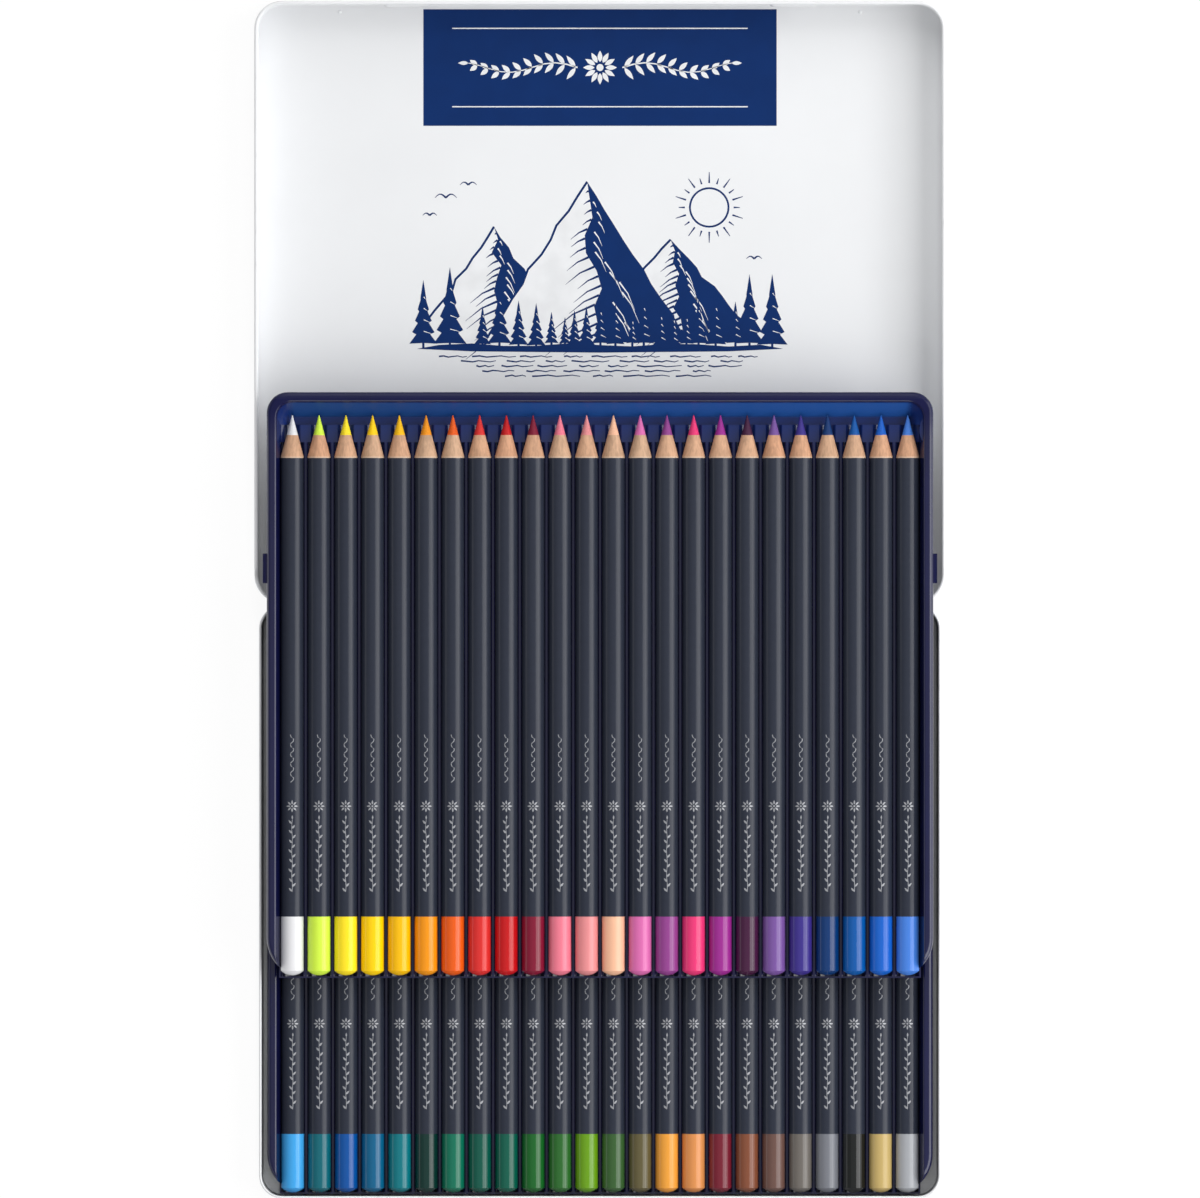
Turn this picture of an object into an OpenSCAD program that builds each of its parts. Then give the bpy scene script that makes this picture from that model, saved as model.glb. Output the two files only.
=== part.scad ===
// Hinged flat tin with two trays of colored pencils.
// Origin: centre of the underside of the base. +X right, +Y towards the open lid, +Z up. Millimetres.
// The lid lies open flat, the lower tray sits in the base, and the upper tray is set back over the lid.

/* [Pencils] */
// Pencils in each tray
per_row = 24; // [6:1:36]
// Barrel diameter
pencil_d = 7.15; // [6:0.05:9]
// Length from tip to tail
pencil_len = 174; // [140:1:210]
// Free gap between neighbouring barrels
pencil_gap = 1.16; // [0.8:0.02:3]
// Lead core diameter
lead_d = 3.3; // [2:0.1:4.5]
// Half angle of the sharpened cone, degrees
cone_angle = 15; // [10:0.5:22]
// Rise of the domed tail
tail_rise = 1.5; // [0.6:0.1:2.5]
// Thickness of the dipped tail that closes the lead's bore
tail_skin = 1.2; // [0.6:0.1:3]
// Radial glue gap round the lead
glue_gap = 0.05; // [0.02:0.01:0.1]

/* [Trays] */
// Thickness of the moulded sheet
tray_t = 0.5; // [0.3:0.05:1]
// Height from the underside of the channels to the rim
tray_h = 9.3; // [8.8:0.1:13]
// Clearance round a barrel in its channel
channel_gap = 0.2; // [0.1:0.05:0.5]
// How far the ridge tops lie below the pencil axes
ridge_drop = 1.2; // [0.8:0.1:2]
// Width of the side and rear rims
rim_w = 3.1; // [2:0.1:6]
// Space between the last barrel and the side rim
side_gap = 1.2; // [0.8:0.05:3]
// Depth of the turned-down lip
lip_h = 2.6; // [1.5:0.1:4]
// Outside radius of the bend between rim and lip
lip_r = 1.4; // [0.6:0.1:1.6]
// Rounding of the rim's inner edge
rim_round = 0.8; // [0.2:0.1:1]
// Height of the low front edge
front_h = 3.1; // [2.5:0.1:4]
// Corner radius of the rim at the front
front_r = 12.5; // [8:0.5:16]
// Corner radius of the rim at the rear
tray_r = 6.5; // [4:0.1:8]
// Bevel along the ridges between the pencils
ridge_bevel = 0.25; // [0.1:0.05:0.4]
// How far before the pencil tips the rear slope starts
tip_back = 0.775; // [0:0.025:1.2]
// Tray length in front of the pencil tails
front_space = 0.8; // [0.7:0.1:4]
// Clear length of the narrowed channels under the cones
saddle_len = 5.4; // [3:0.1:6]
// Side ear length, along the tray
ear_len = 9.2; // [5:0.1:20]
// How far an ear stands out of the rim
ear_out = 1.2; // [0.6:0.1:1.5]
// Distance from the rear edge of the tray to the ears
ear_back = 50.1; // [20:0.1:100]

/* [Base] */
// Sheet thickness of the base and lid
plate_t = 0.4; // [0.25:0.05:0.6]
// Side clearance between the tray and the base rim
tray_gap_x = 1.75; // [1.4:0.05:4]
// Front and rear clearance between the tray and the base rim
tray_gap_y = 0.5; // [0.2:0.05:1]
// Clearance under the lower tray
tray_lift = 0.2; // [0.1:0.05:0.5]
// Corner radius of the base, outside
base_r = 7.3; // [7:0.1:12]
// Width of the rolled rim of the base
base_hem = 0.8; // [0.8:0.1:1]
// Outside radius of the bend between floor and wall
bend_r = 1.4; // [1:0.1:2]

/* [Lid] */
// Side clearance between the lid rim and the base wall when shut
lid_gap = 0.25; // [0.2:0.05:1]
// Front clearance between the lid rim and the base wall when shut
lid_gap_front = 1.5; // [1.2:0.1:3]
// Width of the rolled rim of the lid
lid_hem = 1.2; // [1:0.1:1.6]
// How far the shut lid laps down over the base wall
lid_lap = 3; // [2:0.1:5]
// Room over the upper tray when the lid is shut
lid_room = 0.5; // [0.3:0.1:2]
// Distance from the centre to each snap bead
bead_x = 60; // [30:1:75]
// Length of a snap bead
bead_len = 15; // [8:1:30]
// Radius of a snap bead
bead_r = 1.6; // [1:0.1:2]
// Distance from the hinge to the side dimples
dimple_y = 26; // [20:1:60]
// Distance from the centre to each floor dimple
dot_x = 81; // [40:1:90]

/* [Hinge] */
// Distance from the centre to each hinge
hinge_x = 62; // [30:1:75]
// Pin diameter
pin_d = 1.2; // [1:0.1:2]
// Running clearance round the pin
pin_gap = 0.05; // [0.02:0.01:0.1]
// Length of one knuckle
knuckle_len = 9; // [5:0.5:14]
// Free gap beside and below a knuckle
knuckle_gap = 0.25; // [0.2:0.05:0.6]
// Gap between the hinge axis and either rear wall
wall_gap = 0.3; // [0.2:0.05:0.5]

/* [Display] */
// How far the upper tray is set back from its place in the base
setback = 67.4; // [20:0.1:80]
// Gap under the set-back tray over the hinge
tray_rest = 0.3; // [0.2:0.1:1]
// How far the lower pencils have slid forward in their channels
lower_slide = 0.35; // [0:0.05:0.35]

/* [Hidden] */
$fn = 64;
EPS = 0.01;
pitch = pencil_d + pencil_gap;
pencil_r = pencil_d / 2;
lead_r = lead_d / 2;
channel_r = pencil_r + channel_gap;
axis_z = tray_t + channel_r;
ridge_z = axis_z - ridge_drop;
row_w = (per_row - 1) * pitch;
tip_r = 0.15;
apex_y = pencil_len - 0.1 + tip_r / tan(cone_angle);

// Trays
tray_w = row_w + pencil_d + 2 * (side_gap + rim_w);
opening_r = side_gap + pencil_r;
tray_d = front_space + pencil_len - tip_back + opening_r + rim_w;
opening_w = tray_w - 2 * rim_w;
foot_r = 4.5;

// Base and lid
base_w = tray_w + 2 * (tray_gap_x + base_hem);
base_d = tray_d + 2 * (tray_gap_y + base_hem);
seat_z = plate_t + tray_lift;
stack_gap = 0.2;
shut_h = seat_z + 2 * tray_h + stack_gap + lid_room + plate_t;
hinge_z = shut_h / 2;
hinge_y = base_d / 2 + wall_gap;
base_h = hinge_z - knuckle_gap;
lid_w = base_w + 2 * (lid_gap + lid_hem);
lid_d = base_d + wall_gap + lid_gap_front + lid_hem;
lid_r = base_r + lid_gap + lid_hem;
lid_low_h = hinge_z - knuckle_gap;
lid_tall_h = hinge_z + lid_lap;
skirt_start = lid_r + wall_gap + 2;

// Hinge
bore_r = pin_d / 2 + pin_gap;
knuckle_r = bore_r + plate_t;
station_len = 3 * knuckle_len + 2 * knuckle_gap;

// Rest places of the trays, measured from the tray's own front edge and underside
lower_y = -base_d / 2 + base_hem + tray_gap_y;
upper_y = lower_y + setback;
upper_z = hinge_z + knuckle_r + tray_rest;

tin_white = [0.92, 0.925, 0.93];
steel = [0.78, 0.79, 0.8];
navy = [0.1, 0.12, 0.3];
wood = [0.86, 0.7, 0.52];

// Lead and cap colors, left to right, as [red, green, blue]
upper_colors = [
    [0.93, 0.93, 0.94], [0.84, 0.96, 0.31], [1.0, 0.88, 0.18], [1.0, 0.82, 0.0],
    [0.98, 0.75, 0.0], [0.96, 0.6, 0.08], [0.92, 0.38, 0.08], [0.86, 0.2, 0.17],
    [0.74, 0.08, 0.1], [0.5, 0.07, 0.19], [0.92, 0.49, 0.56], [0.86, 0.55, 0.56],
    [0.95, 0.74, 0.62], [0.83, 0.42, 0.67], [0.54, 0.24, 0.52], [0.89, 0.22, 0.46],
    [0.6, 0.17, 0.55], [0.27, 0.09, 0.24], [0.45, 0.32, 0.6], [0.22, 0.18, 0.5],
    [0.02, 0.2, 0.42], [0.01, 0.33, 0.62], [0.1, 0.38, 0.77], [0.27, 0.5, 0.84]
];
lower_colors = [
    [0.25, 0.64, 0.9], [0.03, 0.39, 0.44], [0.02, 0.31, 0.61], [0.03, 0.37, 0.52],
    [0.02, 0.45, 0.49], [0.03, 0.19, 0.17], [0.04, 0.43, 0.34], [0.02, 0.33, 0.28],
    [0.02, 0.35, 0.29], [0.08, 0.38, 0.14], [0.16, 0.39, 0.16], [0.4, 0.6, 0.08],
    [0.22, 0.36, 0.18], [0.37, 0.34, 0.22], [0.9, 0.61, 0.23], [0.84, 0.56, 0.32],
    [0.45, 0.12, 0.18], [0.5, 0.3, 0.2], [0.41, 0.3, 0.27], [0.43, 0.4, 0.39],
    [0.46, 0.47, 0.5], [0.1, 0.1, 0.11], [0.75, 0.65, 0.41], [0.63, 0.64, 0.66]
];

// Two-digit node names: pencil_upper_01 to pencil_upper_24
function pencil_name(row, i) = str("pencil_", row, "_", i < 9 ? "0" : "", i + 1);
function pencil_x(i) = -row_w / 2 + i * pitch;

// ---------- Shared shapes ----------

module rounded_rect(w, d, r) {
    square([w - 2 * r, d], center = true);
    square([w, d - 2 * r], center = true);
    for (sx = [-1, 1], sy = [-1, 1])
        translate([sx * (w / 2 - r), sy * (d / 2 - r)])
            circle(r);
}

// Section of a pan wall: x = 0 is the outer face, y is height.
module wall_section(h, hem) {
    hem_r = hem / 2;
    intersection() {
        difference() {
            translate([-bend_r, bend_r]) circle(bend_r);
            translate([-bend_r, bend_r]) circle(bend_r - plate_t);
        }
        translate([-bend_r, 0]) square(bend_r);
    }
    translate([-plate_t, bend_r]) square([plate_t, h - bend_r - hem_r]);
    translate([-hem_r, h - hem_r]) circle(hem_r);
}

// A quarter turn of the wall section about a corner's centre, starting at angle a.
module wall_corner(r, a, h, hem) {
    rotate([0, 0, a])
        rotate_extrude(angle = 90)
            translate([r, 0]) wall_section(h, hem);
}

// A straight run of wall along +X, with its outer face towards -Y.
module wall_run(len, h, hem) {
    rotate([90, 0, 90])
        linear_extrude(len)
            mirror([1, 0]) wall_section(h, hem);
}

// The right half of a disc.
module half_disc(r) {
    intersection() {
        circle(r);
        translate([0, -r]) square([r, 2 * r]);
    }
}

// Hinge stations, each with knuckles base, lid, base.
module at_stations() {
    for (s = [-1, 1])
        translate([s * hinge_x, hinge_y, hinge_z]) children();
}

module knuckle_at(k) {
    translate([k * (knuckle_len + knuckle_gap), 0, 0])
        rotate([0, 90, 0]) cylinder(h = knuckle_len, r = knuckle_r, center = true);
}

module pin_bore() {
    rotate([0, 90, 0]) cylinder(h = station_len + 2, r = bore_r, center = true);
}

// Space cleared in the facing wall for a knuckle and its gaps.
module knuckle_notch(k) {
    drop = knuckle_r + knuckle_gap;
    translate([k * (knuckle_len + knuckle_gap), 0, 0])
        cube([knuckle_len + 2 * knuckle_gap, 4 * lid_hem, 2 * drop], center = true);
}

// ---------- Base ----------

module base_tin() {
    cx = base_w / 2 - base_r;
    cy = base_d / 2 - base_r;
    color(steel) difference() {
        union() {
            linear_extrude(plate_t)
                rounded_rect(base_w - 2 * bend_r, base_d - 2 * bend_r, base_r - bend_r);
            translate([-cx, -base_d / 2, 0]) wall_run(2 * cx, base_h, base_hem);
            translate([cx, base_d / 2, 0]) rotate(180) wall_run(2 * cx, base_h, base_hem);
            translate([base_w / 2, -cy, 0]) rotate(90) wall_run(2 * cy, base_h, base_hem);
            translate([-base_w / 2, cy, 0]) rotate(-90) wall_run(2 * cy, base_h, base_hem);
            for (i = [0 : 3])
                translate([(i == 0 || i == 3 ? 1 : -1) * cx, (i < 2 ? 1 : -1) * cy, 0])
                    wall_corner(base_r, 90 * i, base_h, base_hem);
            at_stations() {
                knuckle_at(-1);
                knuckle_at(1);
            }
        }
        at_stations() pin_bore();
        at_stations() knuckle_notch(0);
    }
}

// ---------- Lid, lying open ----------

module lid() {
    cx = lid_w / 2 - lid_r;
    rear = hinge_y + wall_gap;
    front = hinge_y + lid_d;
    step = hinge_y + skirt_start;
    tall_end = front - lid_r;
    low_start = rear + lid_r;
    inner = front - plate_t;
    color(tin_white) difference() {
        union() {
            translate([0, (rear + front) / 2, 0]) linear_extrude(plate_t)
                rounded_rect(lid_w - 2 * bend_r, front - rear - 2 * bend_r, lid_r - bend_r);
            // rear wall and rear corners, low enough to meet the base wall edge to edge
            translate([-cx, rear, 0]) wall_run(2 * cx, lid_low_h, lid_hem);
            translate([-cx, low_start, 0]) wall_corner(lid_r, 180, lid_low_h, lid_hem);
            translate([cx, low_start, 0]) wall_corner(lid_r, 270, lid_low_h, lid_hem);
            translate([lid_w / 2, low_start, 0]) rotate(90) wall_run(step - low_start, lid_low_h, lid_hem);
            translate([-lid_w / 2, step, 0]) rotate(-90) wall_run(step - low_start, lid_low_h, lid_hem);
            // skirt that laps over the base when shut
            translate([lid_w / 2, step, 0]) rotate(90) wall_run(tall_end - step, lid_tall_h, lid_hem);
            translate([-lid_w / 2, tall_end, 0]) rotate(-90) wall_run(tall_end - step, lid_tall_h, lid_hem);
            translate([cx, tall_end, 0]) wall_corner(lid_r, 0, lid_tall_h, lid_hem);
            translate([-cx, tall_end, 0]) wall_corner(lid_r, 90, lid_tall_h, lid_hem);
            translate([cx, front, 0]) rotate(180) wall_run(2 * cx, lid_tall_h, lid_hem);
            at_stations() knuckle_at(0);
            lid_beads(inner);
            lid_dimples(front);
        }
        at_stations() pin_bore();
        at_stations() {
            knuckle_notch(-1);
            knuckle_notch(1);
        }
    }
}

// Long bumps pressed into the front skirt, which snap past the rim of the base.
module lid_beads(inner) {
    bead_z = lid_tall_h - lid_hem - bead_r - 0.6;
    straight = bead_len - 2 * bead_r;
    for (s = [-1, 1])
        translate([s * bead_x, inner + plate_t / 4, bead_z]) {
            rotate([90, 0, -90])
                translate([0, 0, -straight / 2]) linear_extrude(straight) half_disc(bead_r);
            for (t = [-1, 1])
                translate([t * straight / 2, 0, 0])
                    rotate(180) rotate_extrude(angle = 180) half_disc(bead_r);
        }
}

// A low round bump standing on z = 0, rooted a little below it.
module bump(r, rise) {
    root = plate_t / 2;
    rotate_extrude()
        intersection() {
            translate([0, rise - r]) circle(r);
            translate([0, -root]) square([r, rise + root]);
        }
}

// Round bumps pressed into the side skirts and into the floor near the front.
module lid_dimples(front) {
    for (s = [-1, 1]) {
        translate([s * (lid_w / 2 - plate_t), hinge_y + dimple_y, lid_tall_h - lid_hem - 2.2])
            rotate([0, -90 * s, 0]) bump(1.1, 0.5);
        translate([s * dot_x, front - 3.1, plate_t]) bump(0.9, 0.3);
    }
}

module hinge_pin(side) {
    color(steel)
        translate([side * hinge_x, hinge_y, hinge_z])
            rotate([0, 90, 0]) cylinder(h = station_len + 0.4, r = pin_d / 2, center = true);
}

// ---------- Trays ----------

// What a row of pencils needs, seen along the pencils: round channels below, an open tray above.
// grow widens it by the sheet thickness to give the outside of the moulding.
module tray_section(r, grow, top) {
    foot = row_w / 2 + r - 0.6;
    shoulder = row_w / 2 + channel_r - 0.3 + grow;
    mouth = opening_w / 2 + grow;
    for (i = [0 : per_row - 1])
        translate([pencil_x(i), axis_z]) circle(r + grow);
    for (s = [-1, 1])
        polygon([
            [0, ridge_z - grow], [s * foot, ridge_z - grow], [s * shoulder, axis_z - 0.5],
            [s * mouth, tray_h - rim_round], [s * mouth, top], [0, top]
        ]);
}

// Bevels on the ridges between channels of radius r.
module channel_bevels(r) {
    top_x = sqrt(r * r - ridge_drop * ridge_drop);
    low_x = sqrt(r * r - (ridge_drop + ridge_bevel) * (ridge_drop + ridge_bevel));
    for (i = [1 : per_row - 1], s = [-1, 1])
        translate([s < 0 ? pencil_x(i) : pencil_x(i - 1), ridge_z])
            polygon([[s * low_x, -ridge_bevel], [s * (top_x + ridge_bevel), 0], [s * low_x, ridge_bevel]]);
}

// Extrudes children along +Y from y0 to y1.
module along_y(y0, y1) {
    translate([0, y1, 0])
        rotate([90, 0, 0]) linear_extrude(y1 - y0) children();
}

// The hollow of a tray, from its front edge at y = 0. grow gives the outside of the sheet.
module tray_hollow(grow, top) {
    tail_y = front_space;
    tip_y = tail_y + pencil_len;
    saddle_r = channel_r * 0.69;
    saddle_front = tip_y - saddle_len - 3;
    trench_y = tip_y - 3;
    slope_top = tray_d - rim_w;
    slope_foot = slope_top - opening_r;
    trench_z = axis_z - saddle_r;
    edge_z = tray_h - rim_round;
    floor_z = trench_z - grow;
    foot = 0.3 + grow * 0.6;
    along_y(tray_t - grow, saddle_front + grow) tray_section(channel_r, grow, top);
    along_y(saddle_front - 1, trench_y + grow + EPS) tray_section(saddle_r, grow, top);
    if (grow == 0) {
        along_y(tray_t, saddle_front) channel_bevels(channel_r);
        along_y(saddle_front - EPS, trench_y + EPS) channel_bevels(saddle_r);
    }
    // trench under the tips, with a slope up to the rim behind it
    rotate([90, 0, 90]) translate([0, 0, -row_w / 2]) linear_extrude(row_w)
        polygon([
            [trench_y - grow, floor_z], [slope_foot + foot, floor_z],
            [slope_top + grow, edge_z], [slope_top + grow, top], [trench_y - grow, top]
        ]);
    // side slopes of the trench, and a quarter cone in each corner
    along_y(trench_y - grow, slope_foot)
        for (s = [-1, 1])
            polygon([
                [0, floor_z], [s * (row_w / 2 + foot), floor_z],
                [s * (opening_w / 2 + grow), edge_z], [s * (opening_w / 2 + grow), top], [0, top]
            ]);
    for (s = [-1, 1])
        translate([s * row_w / 2, slope_foot, 0])
            rotate_extrude()
                polygon([
                    [0, floor_z], [foot, floor_z], [opening_r + grow, edge_z],
                    [opening_r + grow, top], [0, top]
                ]);
}

// Section of the lip: x = 0 is the outer face, y = 0 the top of the rim.
module lip_section() {
    intersection() {
        difference() {
            translate([-lip_r, -lip_r]) circle(lip_r);
            translate([-lip_r, -lip_r]) circle(lip_r - tray_t);
        }
        translate([-lip_r, -lip_r]) square(lip_r);
    }
    translate([-tray_t, -lip_h]) square([tray_t, lip_h - lip_r]);
}

// What rounding the inner edge takes off: x = 0 is the edge of the opening, y = 0 the top of the rim.
module edge_section() {
    difference() {
        translate([-0.3, -rim_round]) square([rim_round + 0.3, rim_round + 0.5]);
        translate([rim_round, -rim_round]) circle(rim_round);
    }
}

// Sweeps children along the sides and the rear of a w wide outline whose rear edge is at y = rear.
// r is its radius at the rear; front_arc is the radius of its front corners, which start at y = 0.
module sweep_rim(w, rear, r, front_arc) {
    cx = w / 2 - r;
    fx = w / 2 - front_arc;
    translate([0, 0, tray_h]) {
        for (s = [-1, 1])
            translate([s * w / 2, s > 0 ? front_arc : rear - r, 0]) rotate(90 * s)
                rotate([90, 0, 90]) linear_extrude(rear - r - front_arc) mirror([1, 0]) children();
        translate([cx, rear, 0]) rotate(180)
            rotate([90, 0, 90]) linear_extrude(2 * cx) mirror([1, 0]) children();
        for (i = [0, 1])
            translate([(1 - 2 * i) * cx, rear - r, 0]) rotate(90 * i)
                rotate_extrude(angle = 90) translate([r, 0]) children();
        if (front_arc > 0)
            for (i = [2, 3])
                translate([(2 * i - 5) * fx, front_arc, 0]) rotate(90 * i)
                    rotate_extrude(angle = 90) translate([front_arc, 0]) children();
    }
}

// The tray's outline inset all round, with corner radius f at the front.
module tray_outline(inset, f) {
    w = tray_w / 2 - inset;
    r = tray_r - inset;
    ff = f - inset;
    translate([-w, inset + ff]) square([2 * w, tray_d - 2 * inset - ff - r]);
    translate([-w + r, tray_d - inset - r - EPS]) square([2 * (w - r), r + EPS]);
    translate([-w + ff, inset]) square([2 * (w - ff), ff + EPS]);
    for (s = [-1, 1]) {
        translate([s * (w - r), tray_d - inset - r]) circle(r);
        translate([s * (w - ff), inset + ff]) circle(ff);
    }
}

// A slab with that outline.
module tray_block(inset, f, z0, z1) {
    translate([0, 0, z0]) linear_extrude(z1 - z0) tray_outline(inset, f);
}

// Half-lens bosses on the side walls, beside the first and last tips.
module tray_bosses() {
    boss_r = 7;
    boss_out = 1.2;
    boss_y = front_space + pencil_len - 4.6;
    for (s = [-1, 1])
        translate([s * (opening_w / 2 - boss_out + boss_r), boss_y, ridge_z - 0.1])
            intersection() {
                cylinder(h = 5.2, r = boss_r);
                translate([-s * (boss_r - 1), 0, 2.6]) cube([2, 2 * boss_r, 5.2], center = true);
            }
}

module tray() {
    mouth = opening_w / 2;
    color(navy) difference() {
        union() {
            difference() {
                union() {
                    intersection() {
                        tray_hollow(tray_t, tray_h);
                        union() {
                            tray_block(EPS, foot_r, 0, front_h);
                            tray_block(EPS, front_r, front_h - EPS, tray_h - lip_r);
                            tray_block(lip_r, front_r, front_h, tray_h);
                        }
                    }
                    tray_block(lip_r, front_r, tray_h - tray_t, tray_h);
                    sweep_rim(tray_w, tray_d, tray_r, front_r) lip_section();
                }
                intersection() {
                    tray_hollow(0, tray_h + 1);
                    tray_block(tray_t, foot_r, 0, tray_h + 1);
                }
            }
            tray_bosses();
        }
        sweep_rim(2 * mouth, tray_d - rim_w, opening_r, 0) edge_section();
        translate([-mouth, -1, front_h]) cube([2 * mouth, tray_t + 1.01, tray_h]);
    }
}

module tray_ears() {
    ear_h = 1.4;
    color(navy)
        for (s = [-1, 1])
            translate([
                s * (tray_w / 2 - tray_t / 2 + ear_out / 2),
                tray_d - ear_back - ear_len / 2,
                tray_h - lip_r - ear_h / 2
            ])
                cube([ear_out + tray_t, ear_len, ear_h], center = true);
}

module lower_tray() {
    translate([0, lower_y, seat_z]) tray();
}

module upper_tray() {
    translate([0, upper_y, upper_z]) {
        tray();
        tray_ears();
    }
}

// ---------- Pencils ----------

// Half sections, x = radius and y = distance from the tail.
module casing_section() {
    dome_r = (pencil_r * pencil_r + tail_rise * tail_rise) / (2 * tail_rise);
    cone_start = apex_y - pencil_r / tan(cone_angle) - tail_rise;
    difference() {
        union() {
            intersection() {
                translate([0, dome_r]) circle(dome_r);
                square([pencil_r, tail_rise]);
            }
            translate([0, tail_rise])
                polygon([[0, 0], [pencil_r, 0], [pencil_r, cone_start], [0, apex_y - tail_rise]]);
        }
        translate([-1, tail_rise + tail_skin]) square([lead_r + glue_gap + 1, pencil_len]);
    }
}

module lead_section() {
    butt_y = tail_rise + tail_skin + glue_gap;
    polygon([
        [0, butt_y], [lead_r, butt_y], [lead_r, apex_y - lead_r / tan(cone_angle)],
        [tip_r, apex_y - tip_r / tan(cone_angle)], [0, pencil_len]
    ]);
}

module pencil(shade) {
    rotate([-90, 0, 0]) {
        color(wood) rotate_extrude() casing_section();
        color(shade) rotate_extrude() lead_section();
    }
}

// Places a pencil by its row's tray: front edge at y, underside at z.
module pencil_in_tray(i, y, z, shade) {
    translate([pencil_x(i), y + front_space, z + axis_z]) pencil(shade);
}

base_tin();
lid();
hinge_pin(-1);  // hinge_pin_left
hinge_pin(1);  // hinge_pin_right
lower_tray();
upper_tray();
for (i = [0 : per_row - 1]) {
    pencil_in_tray(i, lower_y - lower_slide, seat_z, lower_colors[i % len(lower_colors)]);
    pencil_in_tray(i, upper_y, upper_z, upper_colors[i % len(upper_colors)]);
}
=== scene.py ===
"""Looks for a hinged flat tin with two trays of colored pencils."""

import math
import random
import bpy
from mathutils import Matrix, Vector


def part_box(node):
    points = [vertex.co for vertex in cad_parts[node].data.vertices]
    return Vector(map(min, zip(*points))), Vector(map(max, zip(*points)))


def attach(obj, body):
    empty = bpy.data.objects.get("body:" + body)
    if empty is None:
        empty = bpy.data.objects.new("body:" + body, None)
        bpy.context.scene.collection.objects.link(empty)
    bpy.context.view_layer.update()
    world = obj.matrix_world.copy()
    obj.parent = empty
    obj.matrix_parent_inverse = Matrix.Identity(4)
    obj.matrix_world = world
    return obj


bl_info = {
    "name": "Colored Pencil Tin",
    "version": (1, 0, 0),
    "blender": (4, 5, 0),
    "location": "View3D > Sidebar > Pencil Tin",
    "description": "Finishes, prints and lights a hinged tin of colored pencils",
    "category": "Object",
}

import bmesh
import bpy
from mathutils import Vector

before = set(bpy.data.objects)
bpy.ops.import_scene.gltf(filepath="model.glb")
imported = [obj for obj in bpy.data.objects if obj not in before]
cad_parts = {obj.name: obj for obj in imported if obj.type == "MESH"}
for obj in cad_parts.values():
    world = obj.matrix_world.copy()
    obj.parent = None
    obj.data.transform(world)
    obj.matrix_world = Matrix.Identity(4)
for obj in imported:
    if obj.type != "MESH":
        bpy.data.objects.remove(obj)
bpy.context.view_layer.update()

MM = 0.001
TO_MM = 1000
ROW = 24
UPPER = ["pencil_upper_%02d" % (i + 1) for i in range(ROW)]
LOWER = ["pencil_lower_%02d" % (i + 1) for i in range(ROW)]

# Sizes of the tin in millimetres
LID_SHEET = 0.4
BASE_CORNER = 7.3
PANEL_MARGIN = 2.3
SHORE_BELOW_EDGE = 113.0

# How bright the floor shows to the camera, and how much of it is that glow
FLOOR_GLOW = 1.03
GLOW_SHARE = 0.88
FLOOR_DROP = 0.05 * MM

# Soft boxes: setting with the power, place, point it faces, width and height
LAMPS = (
    ("key", (1.06, 0.1, 1.02), (0, 0.1, 0), (1.8, 1.0)),
    ("side", (1.25, 0.1, 0.45), (0, 0.1, 0.45), (1.8, 0.9)),
    ("low", (-1.25, 0.1, 0.25), (0, 0.1, 0.25), (1.8, 0.5)),
    ("top", (0, 0.1, 2.0), (0, 0.1, 0), (2.0, 2.0)),
    ("fill", (0, -1.5, 1.0), (0, 0.1, 0), (0.5, 1.6)),
    ("back", (0, 1.6, 1.2), (0, 0.1, 0), (0.5, 1.4)),
)

# Lead and cap colors in each row, left to right, as they look in print (sRGB)
UPPER_SHADES = [
    (0.90, 0.90, 0.91), (0.83, 0.96, 0.29), (1.0, 0.89, 0.15), (1.0, 0.82, 0.02),
    (0.97, 0.74, 0.02), (0.94, 0.58, 0.07), (0.90, 0.36, 0.08), (0.84, 0.18, 0.17),
    (0.76, 0.07, 0.09), (0.50, 0.07, 0.19), (0.92, 0.48, 0.56), (0.89, 0.55, 0.56),
    (0.95, 0.73, 0.60), (0.84, 0.42, 0.67), (0.56, 0.25, 0.54), (0.90, 0.22, 0.46),
    (0.60, 0.16, 0.55), (0.26, 0.09, 0.23), (0.46, 0.32, 0.60), (0.23, 0.18, 0.52),
    (0.02, 0.20, 0.42), (0.02, 0.33, 0.63), (0.08, 0.37, 0.76), (0.27, 0.49, 0.84),
]
LOWER_SHADES = [
    (0.25, 0.64, 0.90), (0.03, 0.39, 0.44), (0.02, 0.31, 0.61), (0.03, 0.37, 0.53),
    (0.02, 0.45, 0.49), (0.03, 0.19, 0.17), (0.04, 0.43, 0.33), (0.02, 0.33, 0.27),
    (0.02, 0.35, 0.28), (0.08, 0.38, 0.14), (0.16, 0.40, 0.16), (0.40, 0.60, 0.08),
    (0.21, 0.36, 0.18), (0.37, 0.34, 0.22), (0.90, 0.61, 0.23), (0.84, 0.55, 0.31),
    (0.45, 0.11, 0.18), (0.50, 0.29, 0.20), (0.41, 0.30, 0.27), (0.42, 0.40, 0.38),
    (0.46, 0.47, 0.50), (0.09, 0.10, 0.10), (0.75, 0.65, 0.41), (0.63, 0.64, 0.66),
]


def linear(c):
    """An sRGB color as the linear values that a shader takes."""
    return tuple(v / 12.92 if v <= 0.04045 else ((v + 0.055) / 1.055) ** 2.4 for v in c[:3])


def rgba(c):
    return (*c[:3], 1.0)


# ---------- Shader sums ----------


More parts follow.
